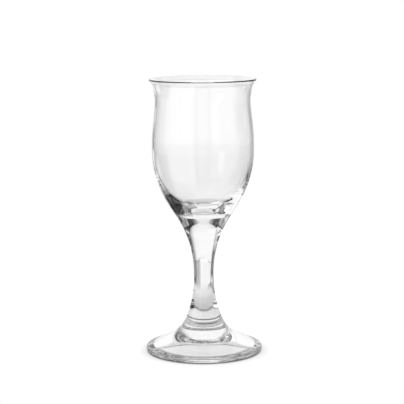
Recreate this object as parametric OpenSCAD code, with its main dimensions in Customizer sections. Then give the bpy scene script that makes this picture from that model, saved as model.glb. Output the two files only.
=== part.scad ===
// White wine glass: a blown bowl, a drawn stem and a cast foot, fused hot at two seams.
// Each piece is turned about the z axis, and the glass stands on z = 0. Lengths are in
// millimetres, and a lean is an angle from upright.

/* [Bowl] */
// Height of the bowl, from its seam on the stem up to the rim
bowl_h = 84.4; // [72:0.1:110]
// Diameter over the rim
rim_d = 66.7; // [62:0.1:80]
// Thickness of the fire-polished bead on the rim
rim_bead = 1.4; // [0.8:0.1:2.4]
// Lean of the lip where it ends in the bead
lip_lean = 54; // [20:1:65]
// Outside diameter of the waist below the lip
waist_d = 59.6; // [54:0.1:61]
// How far the waist lies below the rim
waist_drop = 12.1; // [7:0.1:16]
// Wall at the waist
waist_wall = 1.2; // [0.8:0.1:2.4]
// Outside diameter of the belly
belly_d = 63.8; // [58:0.1:75]
// Height of the belly above the seam
belly_rise = 43.9; // [36:0.1:50]
// Wall at the belly
belly_wall = 1.3; // [0.8:0.1:2.4]
// Height of the cup's floor above the seam
floor_rise = 2.6; // [1:0.1:4.5]
// Inside diameter of the knee, where the floor turns up into the wall
knee_d = 32.5; // [28:0.1:36]
// Height of the knee above the seam
knee_rise = 6.8; // [5.5:0.1:10]
// Lean of the inside wall at the knee
knee_lean = 51; // [40:1:56]

/* [Stem] */
// Length of the stem, from its seam on the foot up to its seam with the bowl
stem_l = 71.7; // [55:0.1:110]
// Diameter of the stem where it is thinnest
neck_d = 12.3; // [8:0.1:18]
// Height of the thinnest place above the seam on the foot
neck_rise = 32.9; // [24:0.1:40]
// Diameter of the seam between stem and bowl
bowl_seam_d = 35.8; // [28:0.1:42]
// Lean of the outline at that seam
bowl_seam_lean = 34.5; // [25:0.5:45]
// Depth of the cup in the top of the stem that the bowl sits in
bowl_seam_dip = 2.5; // [1:0.1:4]

/* [Foot] */
// Height of the foot, up to its seam with the stem
foot_h = 15; // [12:0.1:20]
// Diameter of the foot
foot_d = 72.9; // [60:0.1:90]
// Thickness of the foot's rounded edge
foot_edge = 3.6; // [2.4:0.1:5]
// Slope of the foot's top at its edge, from level
foot_slope = 20; // [10:1:28]
// Diameter of the seam between foot and stem
foot_seam_d = 29.4; // [22:0.1:34]
// Lean of the outline at that seam
foot_seam_lean = 38; // [25:1:50]
// Depth of the cup in the top of the foot that the stem sits in
foot_seam_dip = 3; // [1:0.1:4]
// Width of the flat ring that the foot rests on
rest_w = 4.2; // [1.5:0.1:6]
// Height of the hollow under the foot
hollow_h = 6.2; // [1:0.1:7]

/* [Hidden] */
$fn = 180;

// Steps along each curve, round each bead and across each seam
curve_steps = 24;
bead_steps = 12;
seam_steps = 12;

// How far each curve runs on before it bends, at its two ends, as a share of its span
base_pull = [0.35, 0.45];
shoulder_pull = [0.35, 0.32];
lip_pull = [0.4, 0.15];
floor_pull = [0.8, 0.85];
cup_pull = [0.2, 0.6];
stem_low_pull = [0.31, 0.31];
stem_top_pull = [0.55, 0.15];
foot_top_pull = [0.24, 0.25];
hollow_pull = [0.59, 0.66];

// Colourless glass, drawn a little blue so that it shows
glass = [0.86, 0.92, 0.95, 0.5];

// Heights above the table
bowl_z = foot_h + stem_l;
rim_z = bowl_z + bowl_h;
waist_z = rim_z - waist_drop;
belly_z = bowl_z + belly_rise;
floor_z = bowl_z + floor_rise;
knee_z = bowl_z + knee_rise;
neck_z = foot_h + neck_rise;

// Rings where two pieces meet, as [radius, height]
bowl_seam = [bowl_seam_d / 2, bowl_z];
foot_seam = [foot_seam_d / 2, foot_h];

// Direction of a line that leans outwards by angle a as it rises
function lean(a) = [sin(a), cos(a)];

// Cubic curve from a to d, pulled towards b and c, without its first point
function curve(a, b, c, d) = [
    for (i = [1 : curve_steps])
        let (t = i / curve_steps, u = 1 - t)
        u * u * u * a + 3 * u * u * t * b + 3 * u * t * t * c + t * t * t * d
];

// Round edge about centre c from angle a to angle b, without its two ends
function bead(c, r, a, b) = [
    for (i = [1 : bead_steps - 1])
        let (w = a + (b - a) * i / bead_steps)
        c + r * [cos(w), sin(w)]
];

// Seam as a spherical cap that dips below its ring, from the axis out, without the ring itself
function seam(ring, dip) =
    let (
        r = (ring.x * ring.x + dip * dip) / (2 * dip),
        half = asin(ring.x / r)
    )
    [
        for (i = [0 : seam_steps - 1])
            let (w = half * i / seam_steps)
            [r * sin(w), ring.y - dip + r * (1 - cos(w))]
    ];

function reversed(points) = [for (i = [len(points) - 1 : -1 : 0]) points[i]];

// Side of the cup from belly to lip, with the wall at belly and waist taken off its radius
function side(off_belly, off_waist, lip) =
    let (
        belly = [belly_d / 2 - off_belly, belly_z],
        waist = [waist_d / 2 - off_waist, waist_z],
        rise = waist_z - belly_z,
        flare = rim_z - waist_z
    )
    concat(
        curve(belly, belly + [0, shoulder_pull[0] * rise], waist - [0, shoulder_pull[1] * rise], waist),
        curve(waist, waist + [0, lip_pull[0] * flare], lip - lip_pull[1] * flare * lean(lip_lean), lip)
    );

// Blown cup with a thick base, a belly, a drawn-in waist and a flared, fire-polished lip
module bowl() {
    belly = [belly_d / 2, belly_z];
    cup = belly - [belly_wall, 0];
    cup_floor = [0, floor_z];
    knee = [knee_d / 2, knee_z];
    bead_r = rim_bead / 2;
    bead_c = [rim_d / 2 - bead_r, rim_z - bead_r];
    lip_side = bead_r * lean(90 + lip_lean);
    base = curve(
        bowl_seam,
        bowl_seam + base_pull[0] * belly_rise * lean(bowl_seam_lean),
        belly - [0, base_pull[1] * belly_rise],
        belly
    );
    well = curve(
        cup_floor,
        cup_floor + [floor_pull[0] * knee.x, 0],
        knee - floor_pull[1] * (knee_z - floor_z) * [tan(knee_lean), 1],
        knee
    );
    wall = curve(
        knee,
        knee + cup_pull[0] * (belly_z - knee_z) * lean(knee_lean),
        cup - [0, cup_pull[1] * (belly_z - knee_z)],
        cup
    );
    outside = concat(base, side(0, 0, bead_c + lip_side));
    inside = concat([cup_floor], well, wall, side(belly_wall, waist_wall, bead_c - lip_side));
    rim = bead(bead_c, bead_r, -lip_lean, 180 - lip_lean);
    color(glass)
        rotate_extrude()
            polygon(concat(
                seam(bowl_seam, bowl_seam_dip), [bowl_seam], outside, rim, reversed(inside)
            ));
}

// Solid stem, drawn thin at the neck and flared at both ends into its seams
module stem() {
    neck = [neck_d / 2, neck_z];
    low_h = neck_z - foot_h;
    top_h = bowl_z - neck_z;
    low = curve(
        foot_seam,
        foot_seam + stem_low_pull[0] * low_h * lean(-foot_seam_lean),
        neck - [0, stem_low_pull[1] * low_h],
        neck
    );
    top = curve(
        neck,
        neck + [0, stem_top_pull[0] * top_h],
        bowl_seam - stem_top_pull[1] * top_h * lean(bowl_seam_lean),
        bowl_seam
    );
    color(glass)
        rotate_extrude()
            polygon(concat(
                seam(foot_seam, foot_seam_dip), [foot_seam], low, top,
                reversed(seam(bowl_seam, bowl_seam_dip))
            ));
}

// Cast foot: a low cone with a rounded edge, a flat ring to rest on and a hollow underneath
module foot() {
    edge_r = foot_edge / 2;
    edge_c = [foot_d / 2 - edge_r, edge_r];
    shoulder = edge_c + edge_r * lean(foot_slope);
    span = shoulder.x - foot_seam.x;
    rest_out = [edge_c.x, 0];
    rest_in = rest_out - [rest_w, 0];
    top = curve(
        foot_seam,
        foot_seam - foot_top_pull[0] * span * lean(-foot_seam_lean),
        shoulder - foot_top_pull[1] * span * lean(90 + foot_slope),
        shoulder
    );
    edge = bead(edge_c, edge_r, 90 - foot_slope, -90);
    hollow = curve(
        rest_in,
        rest_in + [-hollow_pull[0] * rest_in.x, hollow_h],
        [hollow_pull[1] * rest_in.x, hollow_h],
        [0, hollow_h]
    );
    color(glass)
        rotate_extrude()
            polygon(concat(
                seam(foot_seam, foot_seam_dip), [foot_seam], top, edge, [rest_out, rest_in], hollow
            ));
}

bowl();
stem();
foot();
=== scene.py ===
# White wine glass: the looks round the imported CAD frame, in metres.

import math

import bmesh
import bpy
from mathutils import Matrix
from mathutils.bvhtree import BVHTree


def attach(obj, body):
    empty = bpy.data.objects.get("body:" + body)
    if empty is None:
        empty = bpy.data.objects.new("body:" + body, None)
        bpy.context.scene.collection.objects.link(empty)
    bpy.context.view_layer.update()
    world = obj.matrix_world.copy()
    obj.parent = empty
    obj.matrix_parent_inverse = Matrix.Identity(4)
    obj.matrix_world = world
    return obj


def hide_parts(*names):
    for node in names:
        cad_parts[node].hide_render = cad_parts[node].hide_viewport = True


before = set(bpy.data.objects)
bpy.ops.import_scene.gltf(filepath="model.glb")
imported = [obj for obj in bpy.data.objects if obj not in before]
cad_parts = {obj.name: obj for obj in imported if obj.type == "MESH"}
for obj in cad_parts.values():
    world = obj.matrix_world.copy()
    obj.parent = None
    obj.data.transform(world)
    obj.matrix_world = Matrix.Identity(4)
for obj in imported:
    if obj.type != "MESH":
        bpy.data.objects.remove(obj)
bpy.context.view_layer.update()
scene = bpy.context.scene


# Bowl
# The cup of colourless soda-lime glass, blown into a turning mould, so that it is round and even.
# Its base is left thick, its wall is thin, and its lip is flared and melted smooth on the rim.
# It is fused hot onto the stem, so the glass runs on through the seam without a surface.

TURN_STEPS = 256
MERGE_DIST = 1e-6
SHARP_ANGLE = math.radians(17)
SEAM_DIST = 1e-4

GLASS_IOR = 1.52
CLEAREST = (0.995, 0.995, 0.995, 1)
FAINT_GREEN = (0.988, 0.991, 0.99, 1)
SWELL_SCALE = 35
SWELL_DETAIL = 1
LINE_DETAIL = 2

# Heights in metres of the swells and of the lines left by turning in the mould, and how closely
# those lines stand along each axis
BOWL_SWELL = 1.5e-5
BOWL_LINE = 6e-7
BOWL_GRAIN = (15, 15, 500)


def turned(node):
    """Cuts a CAD piece's own outline out of its solid and spins it round the axis of the stem."""
    bm = bmesh.new()
    bm.from_mesh(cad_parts[node].data)
    bmesh.ops.remove_doubles(bm, verts=bm.verts, dist=MERGE_DIST)
    bmesh.ops.bisect_plane(
        bm,
        geom=bm.verts[:] + bm.edges[:] + bm.faces[:],
        dist=MERGE_DIST,
        plane_co=(0, 0, 0),
        plane_no=(0, 1, 0),
        clear_inner=True,
        clear_outer=True,
    )
    far_side = [v for v in bm.verts if v.co.x < -MERGE_DIST]
    bmesh.ops.delete(bm, geom=far_side, context="VERTS")
    bmesh.ops.spin(
        bm,
        geom=bm.verts[:] + bm.edges[:],
        cent=(0, 0, 0),
        axis=(0, 0, 1),
        angle=math.tau,
        steps=TURN_STEPS,
        use_merge=True,
    )
    bmesh.ops.remove_doubles(bm, verts=bm.verts, dist=MERGE_DIST)
    bmesh.ops.recalc_face_normals(bm, faces=bm.faces)
    for face in bm.faces:
        face.smooth = True
    for edge in bm.edges:
        edge.smooth = edge.calc_face_angle(0) < SHARP_ANGLE
    return bm


def fuse(bm, *neighbours):
    """Gives the faces that lie on a neighbouring piece the second material, the fused seam."""
    for node in neighbours:
        solid = bmesh.new()
        solid.from_mesh(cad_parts[node].data)
        touching = BVHTree.FromBMesh(solid)
        solid.free()
        for face in bm.faces:
            if touching.find_nearest(face.calc_center_median(), SEAM_DIST)[0]:
                face.material_index = 1


def piece_from(bm, name, materials):
    mesh = bpy.data.meshes.new(name)
    bm.to_mesh(mesh)
    bm.free()
    for material in materials:
        mesh.materials.append(material)
    piece = bpy.data.objects.new(name, mesh)
    scene.collection.objects.link(piece)
    return piece


def new_material(name):
    material = bpy.data.materials.new(name)
    material.use_nodes = True
    return material


def math_node(nodes, links, operation, *values):
    """Adds a sum whose terms are numbers or other nodes' outputs, and returns its result."""
    node = nodes.new("ShaderNodeMath")
    node.operation = operation
    for socket, value in zip(node.inputs, values):
        if isinstance(value, (int, float)):
            socket.default_value = value
        else:
            links.new(value, socket)
    return node.outputs["Value"]


def hot_worked():
    """Group for what the hot work leaves in the glass: shallow swells, fine lines, a trace of colour."""
    group = bpy.data.node_groups.new("hot_worked", "ShaderNodeTree")
    sockets = (
        ("Swell", "INPUT", "NodeSocketFloat"),
        ("Line", "INPUT", "NodeSocketFloat"),
        ("Grain", "INPUT", "NodeSocketVector"),
        ("Height", "OUTPUT", "NodeSocketFloat"),
        ("Tint", "OUTPUT", "NodeSocketColor"),
    )
    for name, side, kind in sockets:
        group.interface.new_socket(name, in_out=side, socket_type=kind)
    nodes = group.nodes
    links = group.links
    given = nodes.new("NodeGroupInput")
    made = nodes.new("NodeGroupOutput")
    place = nodes.new("ShaderNodeTexCoord")

    swell = nodes.new("ShaderNodeTexNoise")
    swell.inputs["Scale"].default_value = SWELL_SCALE
    swell.inputs["Detail"].default_value = SWELL_DETAIL
    links.new(place.outputs["Object"], swell.inputs["Vector"])

    along = nodes.new("ShaderNodeVectorMath")
    along.operation = "MULTIPLY"
    links.new(place.outputs["Object"], along.inputs[0])
    links.new(given.outputs["Grain"], along.inputs[1])
    line = nodes.new("ShaderNodeTexNoise")
    line.inputs["Scale"].default_value = 1
    line.inputs["Detail"].default_value = LINE_DETAIL
    links.new(along.outputs["Vector"], line.inputs["Vector"])

    swells = math_node(nodes, links, "MULTIPLY", swell.outputs["Fac"], given.outputs["Swell"])
    lines = (line.outputs["Fac"], given.outputs["Line"])
    links.new(math_node(nodes, links, "MULTIPLY_ADD", *lines, swells), made.inputs["Height"])

    tint = nodes.new("ShaderNodeMix")
    tint.data_type = "RGBA"
    links.new(swell.outputs["Fac"], tint.inputs["Factor"])
    tint.inputs["A"].default_value = CLEAREST
    tint.inputs["B"].default_value = FAINT_GREEN
    links.new(tint.outputs["Result"], made.inputs["Tint"])
    return group


def clear_glass(name, swell, line, grain):
    material = new_material(name)
    nodes = material.node_tree.nodes
    links = material.node_tree.links
    worked = nodes.new("ShaderNodeGroup")
    worked.node_tree = hot_work
    worked.inputs["Swell"].default_value = swell
    worked.inputs["Line"].default_value = line
    worked.inputs["Grain"].default_value = grain
    relief = nodes.new("ShaderNodeBump")
    relief.inputs["Strength"].default_value = 1
    relief.inputs["Distance"].default_value = 1
    links.new(worked.outputs["Height"], relief.inputs["Height"])
    shader = nodes["Principled BSDF"]
    links.new(worked.outputs["Tint"], shader.inputs["Base Color"])
    links.new(relief.outputs["Normal"], shader.inputs["Normal"])
    shader.inputs["Roughness"].default_value = 0
    shader.inputs["IOR"].default_value = GLASS_IOR
    shader.inputs["Transmission Weight"].default_value = 1
    return material


hot_work = hot_worked()
fused_seam = new_material("fused_seam")
seam_nodes = fused_seam.node_tree.nodes
seam_nodes.remove(seam_nodes["Principled BSDF"])
see_through = seam_nodes.new("ShaderNodeBsdfTransparent")
see_through.inputs["Color"].default_value = (1, 1, 1, 1)
fused_seam.node_tree.links.new(
    see_through.outputs["BSDF"], seam_nodes["Material Output"].inputs["Surface"]
)

bowl_mesh = turned("bowl")
fuse(bowl_mesh, "stem")
bowl_glass = clear_glass("bowl_glass", BOWL_SWELL, BOWL_LINE, BOWL_GRAIN)
blown_bowl = piece_from(bowl_mesh, "blown_bowl", [bowl_glass, fused_seam])
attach(blown_bowl, "root")
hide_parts("bowl")


# Stem
# A solid gather of the same glass, drawn out under the bowl while hot, which leaves it thin at the
# neck and flared at both ends. It is fused to the bowl above and to the foot below.

STEM_SWELL = 2e-5
STEM_LINE = 1.2e-6
STEM_GRAIN = (500, 500, 15)

stem_mesh = turned("stem")
fuse(stem_mesh, "bowl", "foot")
stem_glass = clear_glass("stem_glass", STEM_SWELL, STEM_LINE, STEM_GRAIN)
drawn_stem = piece_from(stem_mesh, "drawn_stem", [stem_glass, fused_seam])
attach(drawn_stem, "root")
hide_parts("stem")


# Foot
# The last gather, dropped on the end of the stem and spread into a low cone with a rounded edge.
# It is hollow underneath, so that the glass stands on a flat ring inside that edge.

FOOT_SWELL = 3e-5
FOOT_LINE = 1e-6
FOOT_GRAIN = (200, 200, 200)

foot_mesh = turned("foot")
fuse(foot_mesh, "stem")
foot_glass = clear_glass("foot_glass", FOOT_SWELL, FOOT_LINE, FOOT_GRAIN)
cast_foot = piece_from(foot_mesh, "cast_foot", [foot_glass, fused_seam])
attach(cast_foot, "root")
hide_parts("foot")


# Floor
# A plain white floor, lit to white for the eye and for the glass, that keeps the soft shadow, which is
# partly real and mostly painted shade in its added light, and fades at its edge into the white round
# it. A white board lies behind the glass, so that the stem looks bright.

FLOOR_WHITE = 0.25
# Light added where the eye sees the floor or the board, where the glass sees the floor, and where
# it sees the board
EYE_LIFT = 0.8
FLOOR_LIFT = 0.76
BOARD_LIFT = 0.72
FLOOR_RADIUS = 0.16
FLOOR_SEGMENTS = 128
FLOOR_DROP = 1e-4
FLOOR_FADE = (0.1, 0.15)
# Painted contact shadow under the ring the foot rests on, added to the real shadow: distance from
# the middle of the shadow, which lies a little in front of the glass because the light comes from
# behind, and shares of the lift left to the eye and to the glass. Below one they paint shade, and
# the glass also sees painted shade on the floor round the foot
SHADOW_MIDDLE = (0, -0.002, 0)
SHADOW_REACH = 0.16
PAINTED_SHADOW = (
    (0.024, 1, 1),
    (0.029, 0.05, 0.05),
    (0.0345, 0.05, 0.05),
    (0.037, 0.85, 0.4),
    (0.043, 1, 0.45),
    (0.065, 1, 0.55),
    (0.1, 1, 0.75),
    (0.15, 1, 0.9),
)
# Where the floor on the left turns from dim to lit for the glass: painted shade, seen only through
# the glass, which darkens the bowl's base
PAINTED_DIM_LEFT = (-0.08, -0.05)
# Azimuths of the board's left and right side, in degrees from straight behind the glass, and how
# far off the near and far end of each side lie
BOARD_SIDES = (-33, 12.5)
BOARD_REACH = (0.15, 0.95)
BOARD_DROP = 2e-4


def smooth_step(nodes, links, value, start, end):
    """Rises from zero to one as value goes from start to end."""
    node = nodes.new("ShaderNodeMapRange")
    node.interpolation_type = "SMOOTHSTEP"
    node.inputs["From Min"].default_value = start
    node.inputs["From Max"].default_value = end
    links.new(value, node.inputs["Value"])
    return node.outputs["Result"]


def seen_by_glass(nodes, links):
    """One where a ray comes off the glass or through it, and zero for any other ray."""
    path = nodes.new("ShaderNodeLightPath")
    rays = (path.outputs["Is Glossy Ray"], path.outputs["Is Transmission Ray"])
    return math_node(nodes, links, "MAXIMUM", *rays)


def light_white(material, glass_lift, eye_share=1, glass_share=1):
    """Makes a material matt white, lifted to full white for the eye and near that for the glass."""
    nodes = material.node_tree.nodes
    links = material.node_tree.links
    path = nodes.new("ShaderNodeLightPath")
    # eye_share and glass_share below one paint shade into the added light
    to_glass = math_node(nodes, links, "MULTIPLY", seen_by_glass(nodes, links), glass_lift)
    glass_part = math_node(nodes, links, "MULTIPLY", to_glass, glass_share)
    to_eye = math_node(nodes, links, "MULTIPLY", path.outputs["Is Camera Ray"], EYE_LIFT)
    lift = math_node(nodes, links, "MULTIPLY_ADD", to_eye, eye_share, glass_part)
    shader = nodes["Principled BSDF"]
    shader.inputs["Base Color"].default_value = (FLOOR_WHITE, FLOOR_WHITE, FLOOR_WHITE, 1)
    shader.inputs["Roughness"].default_value = 1
    shader.inputs["Specular IOR Level"].default_value = 0
    shader.inputs["Emission Color"].default_value = (1, 1, 1, 1)
    links.new(lift, shader.inputs["Emission Strength"])


white_floor = new_material("white_floor")
floor_nodes = white_floor.node_tree.nodes
floor_links = white_floor.node_tree.links
floor_place = floor_nodes.new("ShaderNodeTexCoord").outputs["Object"]


def floor_distance(middle):
    node = floor_nodes.new("ShaderNodeVectorMath")
    node.operation = "DISTANCE"
    node.inputs[1].default_value = middle
    floor_links.new(floor_place, node.inputs[0])
    return node.outputs["Value"]


# Ramp that paints the contact shadow into the floor's added light: red is the eye's share, green the
# glass's
painted_contact_shadow = floor_nodes.new("ShaderNodeValToRGB")
painted_contact_shadow.color_ramp.interpolation = "EASE"
while len(painted_contact_shadow.color_ramp.elements) < len(PAINTED_SHADOW):
    painted_contact_shadow.color_ramp.elements.new(1)
for stop, (distance, for_eye, for_glass) in zip(painted_contact_shadow.color_ramp.elements, PAINTED_SHADOW):
    stop.position = distance / SHADOW_REACH
    stop.color = (for_eye, for_glass, 0, 1)
from_shadow = floor_distance(SHADOW_MIDDLE)
shadow_place = math_node(floor_nodes, floor_links, "DIVIDE", from_shadow, SHADOW_REACH)
floor_links.new(shadow_place, painted_contact_shadow.inputs["Fac"])
painted_shade_shares = floor_nodes.new("ShaderNodeSeparateColor")
floor_links.new(painted_contact_shadow.outputs["Color"], painted_shade_shares.inputs["Color"])
eye_share = painted_shade_shares.outputs["Red"]
# Painted shade on the floor's left, which only the glass sees
floor_sides = floor_nodes.new("ShaderNodeSeparateXYZ")
floor_links.new(floor_place, floor_sides.inputs["Vector"])
painted_left_shade = smooth_step(floor_nodes, floor_links, floor_sides.outputs["X"], *PAINTED_DIM_LEFT)
glass_shares = (painted_shade_shares.outputs["Green"], painted_left_shade)
glass_share = math_node(floor_nodes, floor_links, "MULTIPLY", *glass_shares)
light_white(white_floor, FLOOR_LIFT, eye_share, glass_share)
floor_end = smooth_step(floor_nodes, floor_links, floor_distance((0, 0, 0)), *FLOOR_FADE)
floor_cover = math_node(floor_nodes, floor_links, "SUBTRACT", 1, floor_end)
floor_links.new(floor_cover, floor_nodes["Principled BSDF"].inputs["Alpha"])

floor_mesh = bmesh.new()
bmesh.ops.create_circle(
    floor_mesh,
    cap_ends=True,
    radius=FLOOR_RADIUS,
    segments=FLOOR_SEGMENTS,
    matrix=Matrix.Translation((0, 0, -FLOOR_DROP)),
)
studio_floor = piece_from(floor_mesh, "studio_floor", [white_floor])

white_board = new_material("white_board")
light_white(white_board, BOARD_LIFT)
board_mesh = bmesh.new()
left, right = map(math.radians, BOARD_SIDES)
near, far = BOARD_REACH
corners = []
for side, reach in ((left, near), (left, far), (right, far), (right, near)):
    corner = (reach * math.sin(side), reach * math.cos(side), -BOARD_DROP)
    corners.append(board_mesh.verts.new(corner))
board_mesh.faces.new(corners)
studio_board = piece_from(board_mesh, "studio_board", [white_board])


# Studio light
# Even white light all round, with a white backdrop. The glass also shows what stands round it:
# soft boxes and the dark gaps between them, which draw its edges.

AMBIENT = 1
DARK = 0.005
# Name, azimuth of the middle from straight behind the glass, half width, softness of the sides,
# lowest and highest edge and their softness, all in degrees, and how bright it is
CARDS = (
    ("panel", -1.5, 15, 2, -120, 0, 2, 0.95),
    ("panel_low", -1.5, 15, 2, -14, 0, 4, 1),
    ("panel_high", -1.5, 15, 2, -9, 0, 3, 1.08),
    ("beside_panel", -20, 22, 4, -9, -3, 1, 0.3),
    ("backdrop", -18, 18, 6, -3.5, 50, 1.2, 1),
    ("backdrop_right", 4, 33, 17, -2.5, 50, 2.5, 1),
    ("sweep", -7, 20, 4, -17.5, -9, 1, 0.9),
    ("right_floor", 0, 26, 18, -19, -2, 2, 0.7),
    ("right_far", 4, 38, 16, -19, -2, 2, 0.5),
    ("right_dim", 54, 14, 10, -14, 8, 3, 0.35),
    ("floor_behind", 18, 28, 6, -120, -24, 3, 0.95),
    ("floor_left", -35, 22, 6, -120, -43, 4, 0.7),
    ("left_box", -126, 35, 8, -120, 45, 5, 1.15),
    ("left_gap", -90, 9, 5, -10, 16, 4, 0.95),
    ("left_dim", -66, 24, 8, -10, 10, 4, 0.3),
    ("left_window", -48, 9, 4, -26, -12, 5, 0.95),
    ("left_low", -48, 9, 4, -44, -20, 5, 0.4),
    ("left_high", -50, 14, 6, 8, 45, 6, 0.7),
    ("right_strip", 62, 9, 5, 27, 48, 4, 0.6),
    ("right_window", 137, 7, 3, -28, -9, 3, 0.9),
    ("right_high", 151, 11, 5, -9, 42, 4, 0.25),
    ("camera_side", 180, 16, 10, -120, 26, 8, 0.45),
    ("overhead", 0, 54, 10, 50, 120, 6, 0.6),
    ("top", 0, 200, 5, 72, 120, 10, 0.5),
)

world = bpy.data.worlds.new("studio")
world.use_nodes = True
scene.world = world
sky = world.node_tree.nodes
sky_links = world.node_tree.links


def sky_math(operation, *values):
    return math_node(sky, sky_links, operation, *values)


def soft_step(angle, edge, softness):
    """Rises from zero to one as an angle passes a soft edge, which is given in degrees."""
    start = math.radians(edge - softness)
    end = math.radians(edge + softness)
    return smooth_step(sky, sky_links, angle, start, end)


def apart(angle, middle):
    """How far an azimuth lies from a card's middle, either way round."""
    offset = sky_math("SUBTRACT", angle, math.radians(middle))
    return sky_math("ABSOLUTE", sky_math("WRAP", offset, math.pi, -math.pi))


direction = sky.new("ShaderNodeTexCoord")
split = sky.new("ShaderNodeSeparateXYZ")
sky_links.new(direction.outputs["Generated"], split.inputs["Vector"])
azimuth = sky_math("ARCTAN2", split.outputs["X"], split.outputs["Y"])
height = sky_math("ARCSINE", split.outputs["Z"])
around = DARK
for name, middle, half_width, side_soft, low, high, end_soft, level in CARDS:
    beside = soft_step(apart(azimuth, middle), half_width, side_soft)
    across = sky_math("SUBTRACT", 1, beside)
    over = soft_step(height, high, end_soft)
    upright = sky_math("SUBTRACT", soft_step(height, low, end_soft), over)
    card = sky_math("MULTIPLY", sky_math("MULTIPLY", across, upright), level)
    card.node.label = name
    around = sky_math("MAXIMUM", around, card)

studio = sky.new("ShaderNodeMix")
sky_links.new(seen_by_glass(sky, sky_links), studio.inputs["Factor"])
studio.inputs["A"].default_value = AMBIENT
sky_links.new(around, studio.inputs["B"])
sky_links.new(studio.outputs["Result"], sky["Background"].inputs["Strength"])
sky["Background"].inputs["Color"].default_value = (1, 1, 1, 1)


# Camera
# At the photograph's height and distance, looking a little down on the foot. Light may bounce many
# times inside the glass before it is dropped.

CAMERA_AT = (-0.0008, -0.9104, 0.2321)
CAMERA_PITCH = math.radians(-8.62)
CAMERA_ROLL = math.radians(-0.38)
SENSOR_WIDTH = 36
FRAME_WIDTH_PX = 404
FOCAL_PX = 1475
GLASS_BOUNCES = 32
SEAM_BOUNCES = 64

camera_data = bpy.data.cameras.new("camera")
camera_data.sensor_width = SENSOR_WIDTH
camera_data.lens = FOCAL_PX / FRAME_WIDTH_PX * SENSOR_WIDTH
camera = bpy.data.objects.new("camera", camera_data)
levelled = Matrix.Rotation(math.radians(90), 4, "X")
pitched = Matrix.Rotation(CAMERA_PITCH, 4, "X")
rolled = Matrix.Rotation(CAMERA_ROLL, 4, "Z")
camera.matrix_world = Matrix.Translation(CAMERA_AT) @ levelled @ pitched @ rolled
scene.collection.objects.link(camera)
scene.camera = camera
scene.view_settings.view_transform = "Standard"
scene.cycles.max_bounces = GLASS_BOUNCES
scene.cycles.transmission_bounces = GLASS_BOUNCES
scene.cycles.glossy_bounces = GLASS_BOUNCES
scene.cycles.transparent_max_bounces = SEAM_BOUNCES
